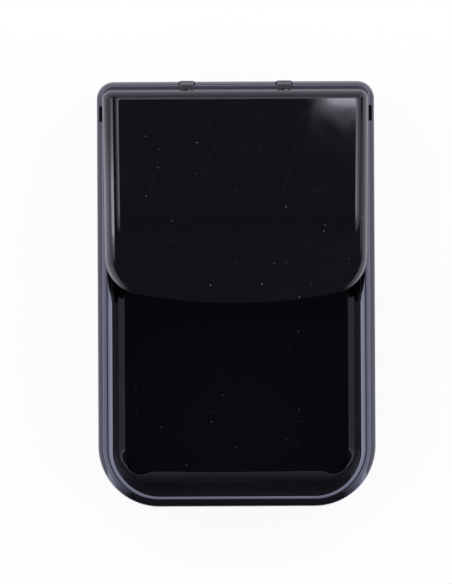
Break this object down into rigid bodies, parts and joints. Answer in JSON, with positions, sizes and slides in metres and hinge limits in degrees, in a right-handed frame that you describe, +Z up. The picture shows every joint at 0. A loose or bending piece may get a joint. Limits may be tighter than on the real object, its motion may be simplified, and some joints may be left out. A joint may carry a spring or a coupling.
{
  "type": "clip dispenser",
  "caption": "Desk paper clip dispenser: gloss black box with a round-cornered open scoop well in front and a hinged, recessed flip lid over the store behind it.",
  "frame": {"origin": "on the table, under the middle of the body's footprint", "axes": "+X to the right as the user faces the open well, +Y to the rear where the lid is hinged, +Z up"},
  "size_m": [0.0712, 0.1082, 0.0259],
  "materials": {
    "gloss_black_body": "moulded gloss black ABS",
    "gloss_black_lid": "moulded gloss black ABS",
    "matte_black_base": "fine spark-eroded matte black ABS",
    "ferrite_magnet": "pressed and sintered ferrite, dull dark grey",
    "black_rubber": "matte moulded rubber",
    "zinc_steel_screw": "zinc-plated steel"
  },
  "bodies": {
    "base": {"body_shell": "gloss_black_body", "base_plate": "matte_black_base", "clip_magnet": "ferrite_magnet", "foot_front_left": "black_rubber", "foot_front_right": "black_rubber", "foot_rear_left": "black_rubber", "foot_rear_right": "black_rubber", "base_screw_front_left": "zinc_steel_screw", "base_screw_front_right": "zinc_steel_screw", "base_screw_rear_left": "zinc_steel_screw", "base_screw_rear_right": "zinc_steel_screw"},
    "lid": {"lid": "gloss_black_lid"}
  },
  "joints": [
    {"name": "lid_hinge", "type": "hinge", "parent": "base", "child": "lid", "pos_m": [0, 0.0519, 0.0218], "axis": [-1, 0, 0], "range_deg": [0, 135]}
  ]
}
